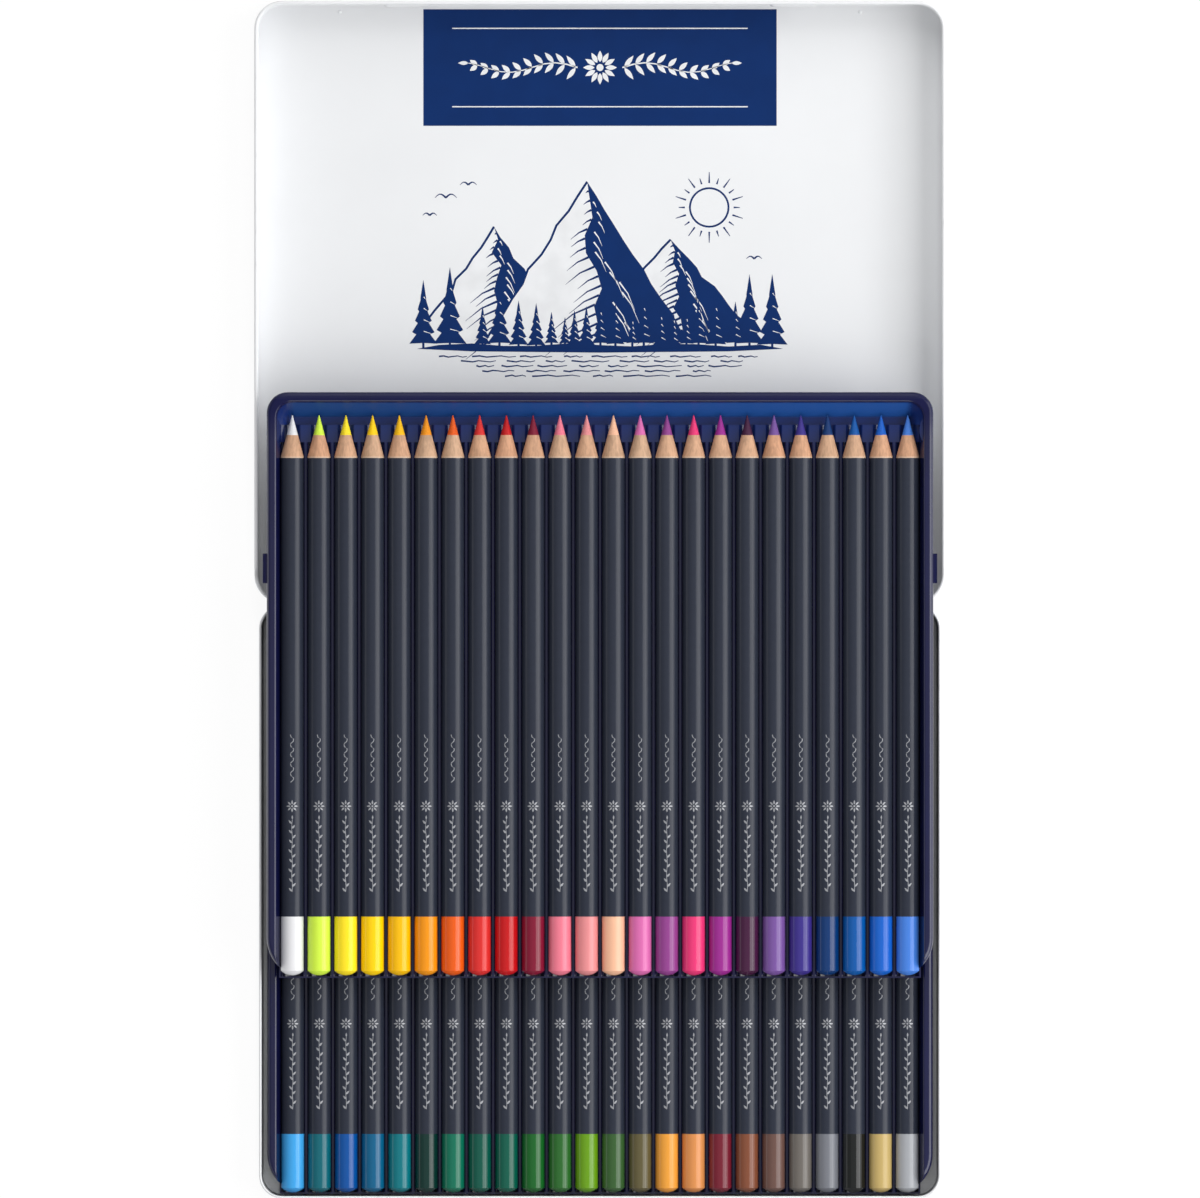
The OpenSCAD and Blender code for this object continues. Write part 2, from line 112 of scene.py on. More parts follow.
class Wire:
    """A node's output, so that shader sums are written as sums."""

    def __init__(self, tree, socket=None):
        self.tree = tree
        self.socket = socket

    def node(self, kind, settings=None, values=None, out=0):
        """Adds any node: its type, settings, then input values or links. out None: it has no output."""
        n = self.tree.nodes.new(kind)
        for key, value in (settings or {}).items():
            setattr(n, key, value)
        for key, value in (values or {}).items():
            socket = n.inputs[key]
            if isinstance(value, Wire):
                self.tree.links.new(value.socket, socket)
            else:
                socket.default_value = value
        return None if out is None else Wire(self.tree, n.outputs[out])

    def calc(self, operation, *terms):
        """One maths node."""
        return self.node("ShaderNodeMath", {"operation": operation}, dict(enumerate(terms)))

    def __add__(self, other):
        return self.calc("ADD", self, other)

    __radd__ = __add__

    def __sub__(self, other):
        return self.calc("SUBTRACT", self, other)

    def __rsub__(self, other):
        return self.calc("SUBTRACT", other, self)

    def __mul__(self, other):
        return self.calc("MULTIPLY", self, other)

    def __pow__(self, other):
        return self.calc("POWER", self, other)

    def __abs__(self):
        return self.calc("ABSOLUTE", self)

    def ramp(self, low, high):
        """Rises smoothly from 0 at low to 1 at high, or falls if low is above high."""
        if low > high:
            return 1 - self.ramp(high, low)
        return self.node(
            "ShaderNodeMapRange",
            {"interpolation_type": "SMOOTHSTEP"},
            {"Value": self, "From Min": low, "From Max": high},
        )

    def blend(self, under, over):
        """under where this is 0, over where it is 1, as colors."""
        n = self.tree.nodes.new("ShaderNodeMix")
        n.data_type = "RGBA"
        for socket in n.inputs:
            for name, value in (("Factor_Float", self), ("A_Color", under), ("B_Color", over)):
                if socket.identifier == name:
                    if isinstance(value, Wire):
                        self.tree.links.new(value.socket, socket)
                    else:
                        socket.default_value = rgba(value)
        return Wire(self.tree, next(s for s in n.outputs if s.identifier == "Result_Color"))

    def noise(self, scale, stretch=(1, 1, 1), detail=3.0, rough=0.5, shift=0.0):
        """Noise over this wire's coordinates, about scale waves a metre."""
        place = self.node(
            "ShaderNodeMapping",
            None,
            {"Vector": self, "Location": (shift, shift * 0.7, shift * 1.3), "Scale": stretch},
        )
        return place.node(
            "ShaderNodeTexNoise",
            None,
            {"Vector": place, "Scale": scale, "Detail": detail, "Roughness": rough},
        )

    def split(self):
        """The three numbers of a vector."""
        n = self.node("ShaderNodeSeparateXYZ", None, {"Vector": self}).socket.node
        return [Wire(self.tree, s) for s in n.outputs]


def start_tree(owner):
    """Empties the node tree of a material or world, and gives a wire to build it with."""
    owner.use_nodes = True
    owner.node_tree.nodes.clear()
    return Wire(owner.node_tree)


class Finish:
    """A material with one Principled shader, written with wires."""

    def __init__(self, name):
        self.material = bpy.data.materials.new(name)
        start = start_tree(self.material)
        self.tree = start.tree
        shader = start.node("ShaderNodeBsdfPrincipled")
        start.node("ShaderNodeOutputMaterial", None, {"Surface": shader}, None)
        self.shader = shader.socket.node
        self.place = start.node("ShaderNodeTexCoord", out="Object")

    def set(self, **values):
        """Sets shader inputs; a word's underscores stand for spaces."""
        for key, value in values.items():
            socket = self.shader.inputs[key.replace("_", " ")]
            if isinstance(value, Wire):
                self.tree.links.new(value.socket, socket)
            elif socket.type == "RGBA":
                socket.default_value = rgba(value)
            else:
                socket.default_value = value
        return self

    def bump(self, height, strength, distance):
        """Raises the surface by height, in metres at 1."""
        normal = height.node(
            "ShaderNodeBump", None, {"Height": height, "Strength": strength, "Distance": distance}
        )
        return self.set(Normal=normal)


def paint(obj, material):
    """Gives a CAD node or a piece one material in all its slots."""
    if not obj.data.materials:
        obj.data.materials.append(material)
    for i in range(len(obj.material_slots)):
        obj.material_slots[i].material = material


# ---------- Mesh code ----------


class Sheet:
    """Thin flat shapes drawn in millimetres, laid on a surface by a place function."""

    def __init__(self, place):
        self.bm = bmesh.new()
        self.place = place
        self.ink = 0
        self.lift = 0.0

    def shape(self, points):
        """A filled outline."""
        verts = [self.bm.verts.new(self.place(u, v, self.lift)) for u, v in points]
        face = self.bm.faces.new(verts)
        face.material_index = self.ink
        return face

    def line(self, points, width, end_width=None):
        """A stroke of even or tapering width along points."""
        end_width = width if end_width is None else end_width
        left, right = [], []
        last = len(points) - 1
        for i, (u, v) in enumerate(points):
            u0, v0 = points[max(i - 1, 0)]
            u1, v1 = points[min(i + 1, last)]
            du, dv = u1 - u0, v1 - v0
            size = math.hypot(du, dv) or 1.0
            half = (width + (end_width - width) * i / last) / 2
            left.append((u - dv / size * half, v + du / size * half))
            right.append((u + dv / size * half, v - du / size * half))
        for i in range(last):
            self.shape([left[i], right[i], right[i + 1], left[i + 1]])

    def disc(self, u, v, r, steps=20):
        self.shape([(u + r * math.cos(t), v + r * math.sin(t)) for t in turn(steps)])

    def leaf(self, u, v, length, width, angle, steps=6):
        """A pointed leaf that starts at u, v and runs at angle, in degrees."""
        a = math.radians(angle)
        side = []
        for i in range(steps + 1):
            t = i / steps
            side.append((t * length, width / 2 * math.sin(math.pi * t ** 0.85)))
        outline = side + [(p, -q) for p, q in reversed(side[1:-1])]
        self.shape([
            (u + p * math.cos(a) - q * math.sin(a), v + p * math.sin(a) + q * math.cos(a))
            for p, q in outline
        ])

    def finish(self, name, body, materials, slot):
        """Makes the piece and lets it ride on a body."""
        mesh = bpy.data.meshes.new(name)
        bmesh.ops.recalc_face_normals(self.bm, faces=self.bm.faces)
        self.bm.to_mesh(mesh)
        self.bm.free()
        obj = bpy.data.objects.new(name, mesh)
        bpy.context.scene.collection.objects.link(obj)
        for material in materials:
            mesh.materials.append(material)
        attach(obj, body)
        return obj


def turn(steps):
    return [2 * math.pi * i / steps for i in range(steps)]


# ---------- Settings ----------


class TinColors(bpy.types.PropertyGroup):
    lacquer: bpy.props.FloatVectorProperty(
        name="Tin lacquer", description="White lacquer of the lid", subtype="COLOR",
        size=3, min=0, max=1, default=(0.80, 0.81, 0.825))
    tinplate: bpy.props.FloatVectorProperty(
        name="Tinplate", description="Bare satin metal of the base", subtype="COLOR",
        size=3, min=0, max=1, default=(0.56, 0.57, 0.58))
    tray: bpy.props.FloatVectorProperty(
        name="Tray plastic", description="Navy plastic of both trays", subtype="COLOR",
        size=3, min=0, max=1, default=(0.0045, 0.0055, 0.050))
    # Painted light: this lighter blue is painted on the tray's lit slope and trench, although its label
    # says drawn plastic.
    tray_painted_glow: bpy.props.FloatVectorProperty(
        name="Drawn plastic", description="The tray's blue where the sheet is drawn thin", subtype="COLOR",
        size=3, min=0, max=1, default=(0.010, 0.062, 0.25))
    barrel: bpy.props.FloatVectorProperty(
        name="Barrel lacquer", description="Dark lacquer of the pencil barrels", subtype="COLOR",
        size=3, min=0, max=1, default=(0.025, 0.030, 0.047))
    wood: bpy.props.FloatVectorProperty(
        name="Pencil wood", description="Sharpened cedar", subtype="COLOR",
        size=3, min=0, max=1, default=(0.65, 0.38, 0.235))
    ink: bpy.props.FloatVectorProperty(
        name="Print ink", description="Navy ink printed inside the lid", subtype="COLOR",
        size=3, min=0, max=1, default=(0.0015, 0.024, 0.125))
    foil: bpy.props.FloatVectorProperty(
        name="Foil", description="Silver foil stamped on the barrels", subtype="COLOR",
        size=3, min=0, max=1, default=(0.42, 0.43, 0.46))


class TinSizes(bpy.types.PropertyGroup):
    cap: bpy.props.FloatProperty(
        name="Cap length", description="Length of the colored dip at the tail",
        default=18.3 * MM, min=0.002, max=0.06, unit="LENGTH")
    lead: bpy.props.FloatProperty(
        name="Bare lead", description="Length of lead that shows at the tip",
        default=6.2 * MM, min=0.002, max=0.02, unit="LENGTH")
    cone: bpy.props.FloatProperty(
        name="Sharpened length", description="Distance from the tip to the lacquer",
        default=13.3 * MM, min=0.005, max=0.04, unit="LENGTH")
    panel_width: bpy.props.FloatProperty(
        name="Panel width", description="Width of the printed panel",
        default=110 * MM, min=0.02, max=0.19, unit="LENGTH")
    panel_height: bpy.props.FloatProperty(
        name="Panel height", description="Height of the printed panel",
        default=36.3 * MM, min=0.01, max=0.09, unit="LENGTH")
    print_lift: bpy.props.FloatProperty(
        name="Ink thickness", description="How far a print stands above its surface",
        default=0.02 * MM, min=0.000005, max=0.0001, unit="LENGTH")


class TinStage(bpy.types.PropertyGroup):
    lens: bpy.props.FloatProperty(
        name="Lens", description="Focal length of the camera, in millimetres",
        default=600.0, min=50, max=2000)
    view_width: bpy.props.FloatProperty(
        name="View width", description="Width that the camera takes in",
        default=0.373, min=0.1, max=2, unit="LENGTH")
    view_y: bpy.props.FloatProperty(
        name="View centre", description="Distance of the view's centre from the middle of the base",
        default=0.09415, min=-1, max=1, unit="LENGTH")
    key: bpy.props.FloatProperty(
        name="Key light", description="Power of the wide soft box on the right",
        default=16.0, min=0, max=500)
    side: bpy.props.FloatProperty(
        name="Side light", description="Power of the low panel under the key light",
        default=7.0, min=0, max=500)
    low: bpy.props.FloatProperty(
        name="Low light", description="Power of the low panel on the left",
        default=2.2, min=0, max=500)
    top: bpy.props.FloatProperty(
        name="Top light", description="Power of the wide panel overhead",
        default=2.0, min=0, max=500)
    fill: bpy.props.FloatProperty(
        name="Fill light", description="Power of the soft box in front",
        default=9.0, min=0, max=500)
    back: bpy.props.FloatProperty(
        name="Back light", description="Power of the soft box behind",
        default=12.0, min=0, max=500)
    room: bpy.props.FloatProperty(
        name="Room light", description="Strength of the even light from all round",
        default=0.3, min=0, max=5)


# ---------- Pieces ----------


class TIN_OT_stage(bpy.types.Operator):
    """Makes the floor, the lights and the camera"""

    bl_idname = "pencil_tin.stage"
    bl_label = "Stage"

    def execute(self, context):
        scene = context.scene
        settings = scene.tin_stage
        scene.view_settings.view_transform = "Standard"
        self.floor(scene)
        self.room(scene, settings.room)
        for key, place, target, size in LAMPS:
            self.soft_box(scene, key + "_light", place, target, size, getattr(settings, key))
        self.camera(scene, settings)
        return {"FINISHED"}

    def floor(self, scene):
        bm = bmesh.new()
        corners = [(-12, -12), (12, -12), (12, 12), (-12, 12)]
        bm.faces.new([bm.verts.new((x, y, -FLOOR_DROP)) for x, y in corners])
        mesh = bpy.data.meshes.new("floor")
        bm.to_mesh(mesh)
        bm.free()
        floor = bpy.data.objects.new("floor", mesh)
        scene.collection.objects.link(floor)
        material = bpy.data.materials.new("floor_paper")
        start = start_tree(material)
        ray = start.node("ShaderNodeLightPath").socket.node
        by_camera = Wire(start.tree, ray.outputs["Is Camera Ray"])
        by_gloss = Wire(start.tree, ray.outputs["Is Glossy Ray"])
        seen = start.calc("MAXIMUM", by_camera, by_gloss)
        paper = start.node("ShaderNodeBsdfDiffuse", None, {"Color": (0.9, 0.9, 0.9, 1)})
        glow = start.node("ShaderNodeEmission", None, {"Color": (1, 1, 1, 1), "Strength": FLOOR_GLOW})
        both = start.node("ShaderNodeMixShader", None, {0: seen * GLOW_SHARE, 1: paper, 2: glow})
        start.node("ShaderNodeOutputMaterial", None, {"Surface": both}, None)
        mesh.materials.append(material)

    def room(self, scene, strength):
        world = bpy.data.worlds.new("room")
        scene.world = world
        start = start_tree(world)
        ray = start.node("ShaderNodeLightPath").socket.node
        seen = Wire(start.tree, ray.outputs["Is Camera Ray"])
        plain = start.node("ShaderNodeBackground", None, {"Color": (1, 1, 1, 1), "Strength": strength})
        white = start.node("ShaderNodeBackground", None, {"Color": (1, 1, 1, 1), "Strength": 1.0})
        both = start.node("ShaderNodeMixShader", None, {0: seen, 1: plain, 2: white})
        start.node("ShaderNodeOutputWorld", None, {"Surface": both}, None)

    def soft_box(self, scene, name, place, target, size, power):
        lamp = bpy.data.lights.new(name, "AREA")
        lamp.shape = "RECTANGLE"
        lamp.size, lamp.size_y = size
        lamp.energy = power
        obj = bpy.data.objects.new(name, lamp)
        obj.location = place
        aim = Vector(target) - Vector(place)
        obj.rotation_mode = "QUATERNION"
        obj.rotation_quaternion = aim.to_track_quat("-Z", "Y")
        obj.visible_camera = False
        scene.collection.objects.link(obj)

    def camera(self, scene, settings):
        data = bpy.data.cameras.new("camera")
        data.lens = settings.lens
        data.sensor_width = 36.0
        data.dof.use_dof = False
        camera = bpy.data.objects.new("camera", data)
        distance = settings.view_width * settings.lens / data.sensor_width
        camera.location = (0, settings.view_y, distance + 0.01)
        data.clip_end = 100
        scene.collection.objects.link(camera)
        scene.camera = camera


class TIN_OT_metal(bpy.types.Operator):
    """Finishes the base, the lid and the hinge pins"""

    bl_idname = "pencil_tin.metal"
    bl_label = "Tin finish"

    def execute(self, context):
        colors = context.scene.tin_colors
        lacquer, plate = tuple(colors.lacquer), tuple(colors.tinplate)

        white = Finish("white_lacquer")
        z = white.place.split()[2]
        cloud = white.place.noise(18, detail=4)
        speck = white.place.noise(2200, detail=2)
        near_top = (z - (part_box("lid")[1][2] - 0.5 * MM)) * TO_MM
        worn = (white.place.noise(240, detail=4) * 0.5 + near_top).ramp(0.75, 1.0)
        tint = cloud.ramp(0.3, 0.7).blend([v * 0.97 for v in lacquer], lacquer)
        white.set(
            Base_Color=(worn * 0.5).blend(tint, [v * 0.7 for v in lacquer]),
            Roughness=0.32 + speck * 0.12,
            Metallic=worn * 0.4,
            Coat_Weight=0.15,
            Coat_Roughness=0.2,
        )
        white.bump(white.place.noise(900, detail=2), 0.12, 0.00005)
        paint(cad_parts["lid"], white.material)

        silver = Finish("satin_tinplate")
        low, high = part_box("base_tin")
        edge = self.outward(silver, high[0] * TO_MM, -low[1] * TO_MM, BASE_CORNER)
        hem = edge.ramp(-0.95, -0.7)
        rolled = silver.place.noise(160, stretch=(1, 28, 28), detail=4, rough=0.6)
        cloud = silver.place.noise(25, detail=3)
        bare = (cloud * 0.5 + rolled * 0.5).ramp(0.3, 0.7).blend([v * 0.86 for v in plate], plate)
        silver.set(
            Base_Color=hem.blend(bare, [v * 0.96 for v in lacquer]),
            Metallic=0.92 - hem * 0.72,
            Roughness=0.26 + rolled * 0.2 + cloud * 0.06,
        )
        silver.bump(rolled, 0.15, 0.00004)
        paint(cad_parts["base_tin"], silver.material)

        wire = Finish("drawn_wire")
        drawn = wire.place.noise(400, stretch=(1, 12, 12), detail=3)
        wire.set(
            Base_Color=drawn.ramp(0.3, 0.7).blend((0.42, 0.42, 0.43), (0.56, 0.56, 0.57)),
            Metallic=1.0,
            Roughness=0.25 + drawn * 0.2,
        )
        for name in ("hinge_pin_left", "hinge_pin_right"):
            paint(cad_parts[name], wire.material)
        return {"FINISHED"}

    def outward(self, look, half_x, half_y, corner):
        """Distance outside the base's outline, in millimetres, below 0 inside it."""
        x, y = look.place.split()[:2]
        dx = abs(x) * TO_MM - (half_x - corner)
        dy = abs(y) * TO_MM - (half_y - corner)
        dx, dy = dx.calc("MAXIMUM", dx, 0.0), dy.calc("MAXIMUM", dy, 0.0)
        return (dx * dx + dy * dy) ** 0.5 - corner


class TIN_OT_trays(bpy.types.Operator):
    """Finishes the two moulded trays"""

    bl_idname = "pencil_tin.trays"
    bl_label = "Tray finish"

    def execute(self, context):
        colors = context.scene.tin_colors
        for name in ("upper_tray", "lower_tray"):
            look = self.plastic(name, tuple(colors.tray), tuple(colors.tray_painted_glow))
            paint(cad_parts[name], look.material)
        return {"FINISHED"}

    def plastic(self, name, navy, thin):
        """Navy sheet with painted light in the deep end under the tips: a lighter blue on the slope and
        trench, lighter still towards the right.
        """
        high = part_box(name)[1]
        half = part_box("lower_tray")[1][0] * TO_MM
        look = Finish(name + "_sheet")
        x, y, z = look.place.split()
        across = abs(x) * TO_MM
        back = (high[1] - y) * TO_MM
        deep = ((high[2] - z) * TO_MM).ramp(0.5, 1.6)
        # Painted light: slope and floor mark where the deep end is lightened as if lit; thin is that
        # painted light blue.
        slope = deep * back.ramp(2.4, 3.4) * back.ramp(7.9, 7.2) * across.ramp(half - 6, half - 9)
        floor = deep * back.ramp(2.4, 3.4) * back.ramp(24, 10)
        right = (x * TO_MM).ramp(-half, half)
        cloud = look.place.noise(30, detail=3)
        ripple = look.place.noise(260, stretch=(1, 0.35, 1), detail=2)
        grain = look.place.noise(1800, detail=2)
        # Painted light: the blue grows lighter towards the right, where the key light stands.
        blue = right.blend([v * 0.85 for v in thin], [v * 1.3 for v in thin])
        body = (cloud * 0.7 + ripple * 0.3).ramp(0.3, 0.7).blend([v * 0.8 for v in navy], navy)
        # Painted light: the trench between the tips is lightened with some of the painted light blue.
        inner = floor.blend(body, [n * 1.2 + t * 0.25 for n, t in zip(navy, thin)])
        look.set(
            Base_Color=slope.blend(inner, blue),
            Roughness=0.16 + grain * 0.1 + slope * 0.25 + back.ramp(2.5, 1.5) * 0.25,
            Specular_IOR_Level=0.28,
            Coat_Weight=back.ramp(5, 16) * across.ramp(half + 0.3, half) * 0.7,
            Coat_Roughness=0.05,
        )
        look.bump(ripple + grain * 0.15, 0.2, 0.0001)
        return look


class TIN_OT_pencils(bpy.types.Operator):
    """Finishes the barrels, caps, wood and leads"""

    bl_idname = "pencil_tin.pencils"
    bl_label = "Pencil finish"

    def execute(self, context):
        chance = random.Random(11)
        for names, shades in ((UPPER, UPPER_SHADES), (LOWER, LOWER_SHADES)):
            for name, shade in zip(names, shades):
                material = self.pencil(context.scene, name, linear(shade), chance)
                paint(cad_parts[name], material)
        return {"FINISHED"}

    def pencil(self, scene, name, shade, chance):
        sizes, colors = scene.tin_sizes, scene.tin_colors
        low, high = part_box(name)
        barrel, wood = tuple(colors.barrel), tuple(colors.wood)
        warm = chance.uniform(-1, 1)
        wood = [v * (1 + k * warm) for v, k in zip(wood, (0.03, -0.06, -0.1))]
        seed = chance.uniform(0, 40)

        look = Finish(name + "_finish")
        y = look.place.split()[1]
        from_tip = (high[1] - y) * TO_MM
        from_tail = (y - low[1]) * TO_MM
        lead_end, cone_end, cap_end = (v * TO_MM for v in (sizes.lead, sizes.cone, sizes.cap))
        wobble = look.place.noise(700, shift=seed) * 0.3
        lead = (from_tip + wobble).ramp(lead_end + 0.2, lead_end + 0.1)
        bare = (from_tip + wobble * 0.5).ramp(cone_end + 0.15, cone_end + 0.02)
        # Painted highlight: a light ring on the wood just below the lacquer's edge.
        painted_highlight_ring = (from_tip + wobble * 0.5).ramp(cone_end - 0.5, cone_end - 0.15)
        cap = from_tail.ramp(cap_end + 0.04, cap_end - 0.04)

        grain = look.place.noise(1500, stretch=(1, 0.09, 1), detail=5, rough=0.6, shift=seed)
        band = look.place.noise(420, stretch=(1, 0.12, 1), detail=2, shift=seed + 3)
        cut = look.place.noise(900, stretch=(0.25, 4.0, 0.25), detail=2, shift=seed)
        peel = look.place.noise(650, detail=2, shift=seed)
        chalk = look.place.noise(1900, detail=4, rough=0.65, shift=seed)

        dark = [v * 0.72 for v in wood]
        timber = (grain * 0.6 + band * 0.4).ramp(0.36, 0.62).blend(dark, wood)
        # Painted highlight: the wood is lightened in a ring at the lacquer's edge.
        timber = (painted_highlight_ring * 0.6).blend(timber, (0.66, 0.52, 0.40))
        core = chalk.ramp(0.3, 0.7).blend([v * 0.86 for v in shade], shade)
        coat = peel.ramp(0.2, 0.8).blend([v * 0.93 for v in barrel], barrel)
        skin = cap.blend(coat, shade)
        gloss = 0.36 - 0.12 * sum(shade)
        look.set(
            Base_Color=lead.blend(bare.blend(skin, timber), core),
            Roughness=0.24 + bare * (0.36 + grain * 0.14) - lead * 0.1 - cap * 0.12,
            Specular_IOR_Level=0.3,
            Coat_Weight=cap * gloss,
            Coat_Roughness=0.07,
        )
        carved = bare * (grain * 0.5 + cut * 0.35)
        look.bump(carved + (1 - bare) * peel * 0.12 + lead * chalk * 0.2, 0.35, 0.00012)
        return look.material


class TIN_OT_panel(bpy.types.Operator):
    """Prints the navy panel with its garland at the lid's far edge"""

    bl_idname = "pencil_tin.panel"
    bl_label = "Printed panel"

    def execute(self, context):
        scene = context.scene
        sizes = scene.tin_sizes
        w, h = sizes.panel_width * TO_MM / 2, sizes.panel_height * TO_MM / 2
        sheet = lid_sheet(scene, PANEL_MARGIN + h)
        sheet.shape([(-w, -h), (w, -h), (w, h), (-w, h)])
        sheet.ink, sheet.lift = 1, 0.015
        self.garland(sheet)
        sheet.finish("printed_panel", "lid", inks(scene), "tin_white")
        return {"FINISHED"}

    def garland(self, sheet):
        """A daisy between two leafy sprays, with a thin rule above and below."""
        for v in (-12.2, 12.2):
            sheet.line([(-46, v), (46, v)], 0.35)
        for t in turn(12):
            sheet.leaf(1.7 * math.cos(t), 1.7 * math.sin(t), 3.6, 1.5, math.degrees(t))
        sheet.disc(0, 0, 1.1)
        for side in (-1, 1):
            stem = [(side * (7 + 3.4 * i), 1.5 * math.sin(i * 0.75)) for i in range(11)]
            sheet.line(stem, 0.45, 0.2)
            for i, (u, v) in enumerate(stem[:-1]):
                for rise in (-1, 1):
                    slant = 52 - 2 * i
                    angle = rise * slant if side > 0 else 180 - rise * slant
                    sheet.leaf(u + side * 0.6, v + rise * 0.1, 4.6 - 0.2 * i, 1.5, angle)
            u, v = stem[-1]
            sheet.leaf(u, v, 3.2, 1.2, 0 if side > 0 else 180)


def lid_sheet(scene, drop):
    """A sheet on the lid's inner face, with its zero line drop millimetres from the far edge."""
    low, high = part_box("lid")
    floor = low[2] * TO_MM + LID_SHEET
    lift = scene.tin_sizes.print_lift * TO_MM
    base = high[1] * TO_MM - drop
    return Sheet(lambda u, v, w: Vector((u * MM, (base + v) * MM, (floor + lift + w) * MM)))


def inks(scene):
    """Navy ink and the bare white of the tin."""
    ready = bpy.data.materials.get("navy_ink")
    if ready:
        return [ready, bpy.data.materials["white_ink"]]
    ink = tuple(scene.tin_colors.ink)
    white = tuple(scene.tin_colors.lacquer)
    made = []
    for name, color, shine in (("navy_ink", ink, 0.34), ("white_ink", white, 0.38)):
        look = Finish(name)
        cloud = look.place.noise(120, detail=3)
        dots = look.place.noise(2600, detail=1)
        look.set(
            Base_Color=cloud.ramp(0.3, 0.7).blend([v * 0.92 for v in color], color),
            Roughness=shine + dots * 0.1,
            Specular_IOR_Level=0.15,
        )
        look.bump(dots, 0.08, 0.00002)
        made.append(look.material)
    return made


class TIN_OT_landscape(bpy.types.Operator):
    """Prints the mountain and lake picture inside the lid"""

    bl_idname = "pencil_tin.landscape"
    bl_label = "Printed landscape"

    def execute(self, context):
        scene = context.scene
        sheet = lid_sheet(scene, SHORE_BELOW_EDGE)
        self.sun(sheet, 34, 49)
        self.peaks(sheet)
        self.pines(sheet)
        self.lake(sheet)
        self.birds(sheet)
        sheet.finish("printed_landscape", "lid", inks(scene), "tin_white")
        return {"FINISHED"}

    def sun(self, sheet, u, v):
        sheet.ink, sheet.lift = 0, 0.0
        ring = [(u + 6 * math.cos(t), v + 6 * math.sin(t)) for t in turn(40)]
        sheet.line(ring + ring[:1], 0.6)
        for i, t in enumerate(turn(20)):
            reach = 11 if i % 2 else 9.5
            ray = [(u + r * math.cos(t), v + r * math.sin(t)) for r in (7.6, reach)]
            sheet.line(ray, 0.55, 0.2)

    def peaks(self, sheet):
        """Three peaks, cut with a white lit side and a solid shaded side."""
        chance = random.Random(3)
        for k, (u, top, half) in enumerate(((22, 39, 29), (-33, 43, 25), (-4, 57, 32))):
            foot, lift = 7.0, 0.008 * k

            def edge(reach, steps, rough):
                """A jagged line from the top down to the foot, reach to the side."""
                out = [(u, top)]
                for i in range(1, steps):
                    t = i / steps
                    shake = chance.uniform(-rough, rough) * 4 * t * (1 - t)
                    out.append((u + reach * t + shake, top - (top - foot) * t))
                return out + [(u + reach, foot)]

            left, ridge, right = edge(-half, 11, 1.1), edge(half * 0.12, 9, 2.4), edge(half, 11, 1.1)
            sheet.ink, sheet.lift = 1, lift
            sheet.shape(left + ridge[:0:-1])
            sheet.ink, sheet.lift = 0, lift + 0.002
            sheet.shape(ridge + right[:0:-1])
            sheet.line(left, 0.7)
            for i in range(1, 17):
                t = i / 17
                at, v = self.along(ridge, t), top - (top - foot) * t
                wide = half * t * 0.62 * chance.uniform(0.5, 1)
                bend, end = (at - wide * 0.5, v - wide * 0.22), (at - wide, v - wide * 0.62)
                sheet.line([(at, v), bend, end], 0.75, 0.1)
            sheet.ink, sheet.lift = 1, lift + 0.004
            for i in range(2, 15):
                t = i / 16
                at, v = self.along(ridge, t), top - (top - foot) * t
                wide = half * t * 0.55
                start = at + wide * chance.uniform(0.35, 0.6)
                fall = min(wide * 0.8, v - foot)
                bend, end = (start + fall * 0.3, v - fall * 0.4), (start + fall * 0.55, v - fall)
                sheet.line([(start, v), bend, end], 0.5, 0.08)

    def along(self, line, t):
        """Where a line is, across, at a share t of its points."""
        place = t * (len(line) - 1)
        i = min(int(place), len(line) - 2)
        return line[i][0] + (line[i + 1][0] - line[i][0]) * (place - i)

    def pines(self, sheet):
        """A row of pines along the shore, each one outline with a few white cuts."""
        chance = random.Random(5)
        u, count = -55.0, 0
        while u < 55:
            height = chance.uniform(9, 17) * (1.15 - 0.35 * math.cos(u / 16))
            half = height * 0.21
            foot = 5.6 + chance.uniform(-0.4, 0.4)
            left, tiers = [], 5
            for k in range(tiers):
                low = foot + 0.8 + height * 0.86 * k / tiers
                wide = half * (1 - k / tiers)
                left += [(-wide, low), (-wide * 0.5, low + height * 0.86 / tiers * 0.8)]
            outline = [(-0.35, foot - 0.6), (-0.35, foot + 1)] + left + [(0, foot + height)]
            outline += [(-p, q) for p, q in reversed(outline[:-1])]
            sheet.ink, sheet.lift = 0, 0.03 + 0.003 * (count % 2)
            sheet.shape([(u + p, q) for p, q in outline])
            sheet.ink, sheet.lift = 1, 0.037
            for k in range(1, tiers):
                low = foot + 0.8 + height * 0.86 * k / tiers
                wide = half * (1 - k / tiers) * 0.75
                sheet.line([(u + 0.15, low + 0.3), (u + wide, low - 0.5)], 0.3, 0.08)
            u += half * 2 * chance.uniform(0.75, 1.0)
            count += 1
        sheet.ink, sheet.lift = 0, 0.027
        bank = [(-50 + 10 * i, 6.2 + 0.5 * math.sin(i * 1.9)) for i in range(11)]
        sheet.shape([(-57, 5.0)] + bank + [(57, 5.0), (40, 4.2), (0, 3.8), (-40, 4.2)])

    def lake(self, sheet):
        """Broken ripples under the shore."""
        chance = random.Random(9)
        sheet.ink, sheet.lift = 0, 0.0
        for row in range(5):
            v = 2.6 - row * 1.5
            u = -52 + 5 * row + chance.uniform(0, 4)
            while u < 50 - 5 * row:
                reach = chance.uniform(5, 15)
                wave = [(u + reach * s / 6, v + 0.22 * math.sin(s * 2.1 + row)) for s in range(7)]
                sheet.line(wave, 0.5, 0.25)
                u += reach + chance.uniform(1.2, 4)

    def birds(self, sheet):
        sheet.ink, sheet.lift = 0, 0.0
        for u, v, size in ((-48, 52, 3.4), (-41, 56, 2.6), (-53, 46.5, 2.2), (48, 33, 2.4)):
            for side in (-1, 1):
                wing = [
                    (u + side * size * s / 5, v + size * 0.34 * math.sin(math.pi * s / 5))
                    for s in range(6)
                ]
                sheet.line(wing, 0.6, 0.15)


